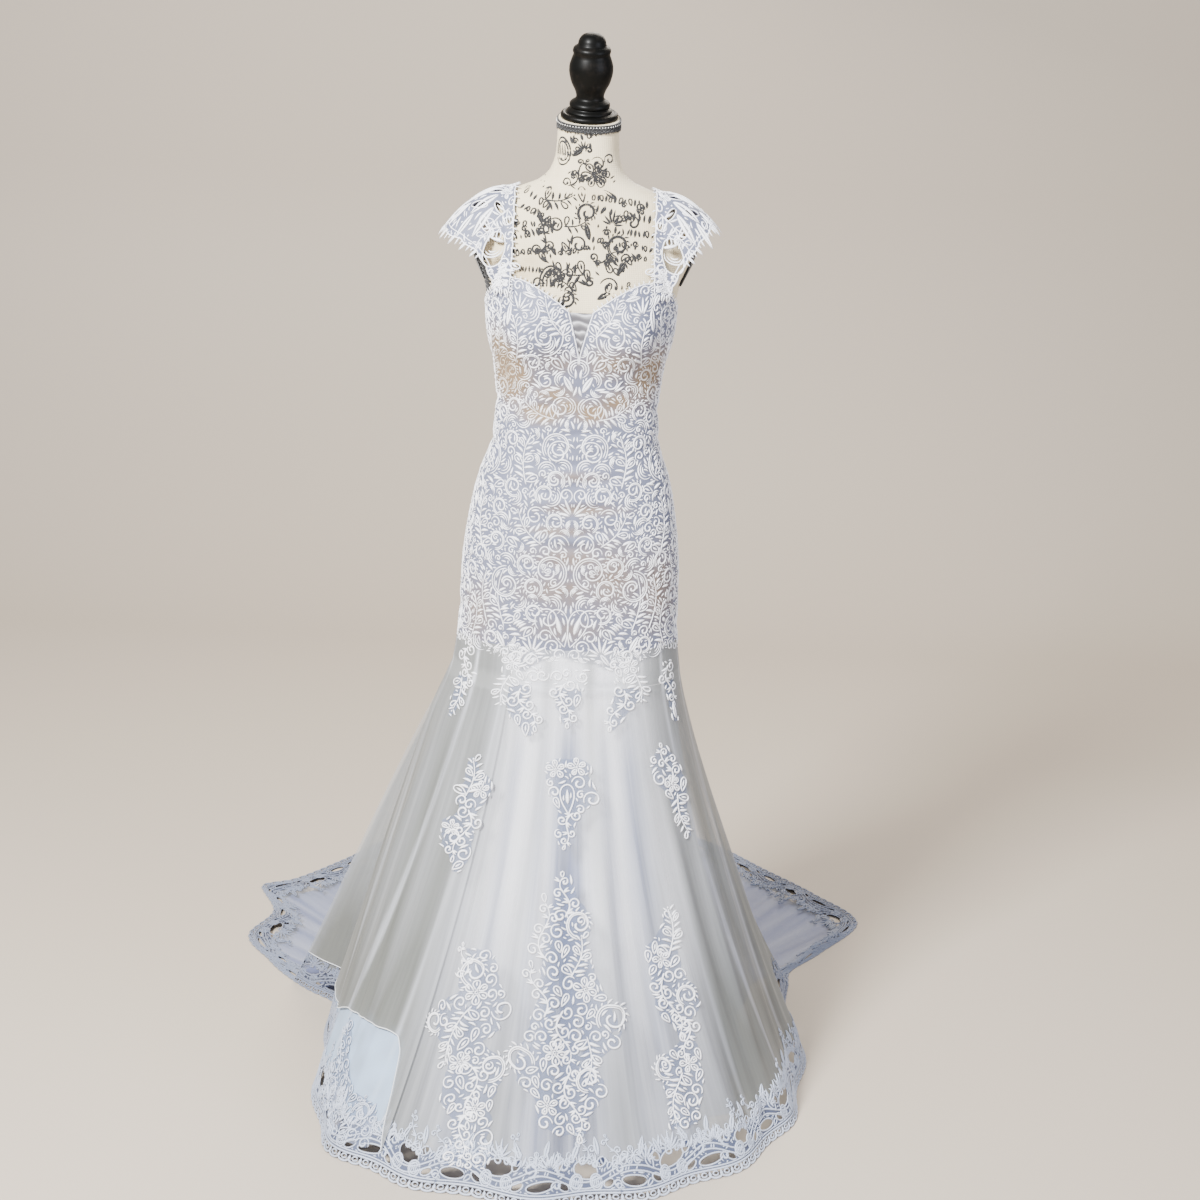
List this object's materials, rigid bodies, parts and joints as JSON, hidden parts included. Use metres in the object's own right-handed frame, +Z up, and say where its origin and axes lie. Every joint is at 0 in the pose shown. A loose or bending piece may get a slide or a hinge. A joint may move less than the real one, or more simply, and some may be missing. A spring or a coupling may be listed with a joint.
{
  "type": "wedding dress on a dress form",
  "caption": "Mermaid wedding dress in corded lace and tulle, with cap sleeves, a sweetheart front, a lace hem border and a train, worn by a limbless dress form on a round foot",
  "frame": {"origin": "centre of the underside of the form's round foot, on the floor", "axes": "+Z up, +X to the right of someone who looks at the front of the dress, and the dress faces -Y"},
  "size_m": [1.1698, 1.5382, 1.6558],
  "materials": {
    "lace": "corded lace, blue white",
    "champagne": "lace over a champagne lining",
    "illusion": "fine mesh in level folds",
    "satin": "satin lining, soft sheen",
    "tulle": "sheer tulle",
    "linen": "ecru woven cover of the form",
    "black_wood": "black satin lacquer",
    "black_braid": "black braid and cloth"
  },
  "bodies": {
    "root": {"armhole_cover_left": "black_braid", "armhole_cover_right": "black_braid", "back_left": "lace", "back_right": "lace", "cap_sleeve_left": "lace", "cap_sleeve_right": "lace", "cup_left": "lace", "cup_right": "lace", "finial": "black_wood", "form_body": "linen", "hip_back_left": "lace", "hip_back_right": "lace", "hip_front": "lace", "hip_side_left": "lace", "hip_side_right": "lace", "lace_border_1": "lace", "lace_border_2": "lace", "lace_border_3": "lace", "lace_border_4": "lace", "lace_border_5": "lace", "lace_border_6": "lace", "lace_border_7": "lace", "lace_border_8": "lace", "lace_border_9": "lace", "lining_1": "satin", "lining_2": "satin", "lining_3": "satin", "lining_4": "satin", "lining_5": "satin", "lining_6": "satin", "lining_7": "satin", "midriff": "champagne", "neck_plate": "black_wood", "neck_trim": "black_braid", "notch_inset": "illusion", "point_front": "lace", "point_left": "lace", "point_right": "lace", "side_left": "champagne", "side_right": "champagne", "spray_front_lower": "lace", "spray_front_upper": "lace", "spray_left_lower": "lace", "spray_left_upper": "lace", "spray_right_lower": "lace", "spray_right_upper": "lace", "stand_base": "black_wood", "stand_pole": "black_wood", "tulle_fold_left": "tulle", "tulle_gore_1": "tulle", "tulle_gore_2": "tulle", "tulle_gore_3": "tulle", "tulle_gore_4": "tulle", "tulle_gore_5": "tulle", "tulle_gore_6": "tulle", "tulle_gore_7": "tulle", "tulle_gore_8": "tulle", "tulle_gore_9": "tulle"}
  },
  "joints": []
}
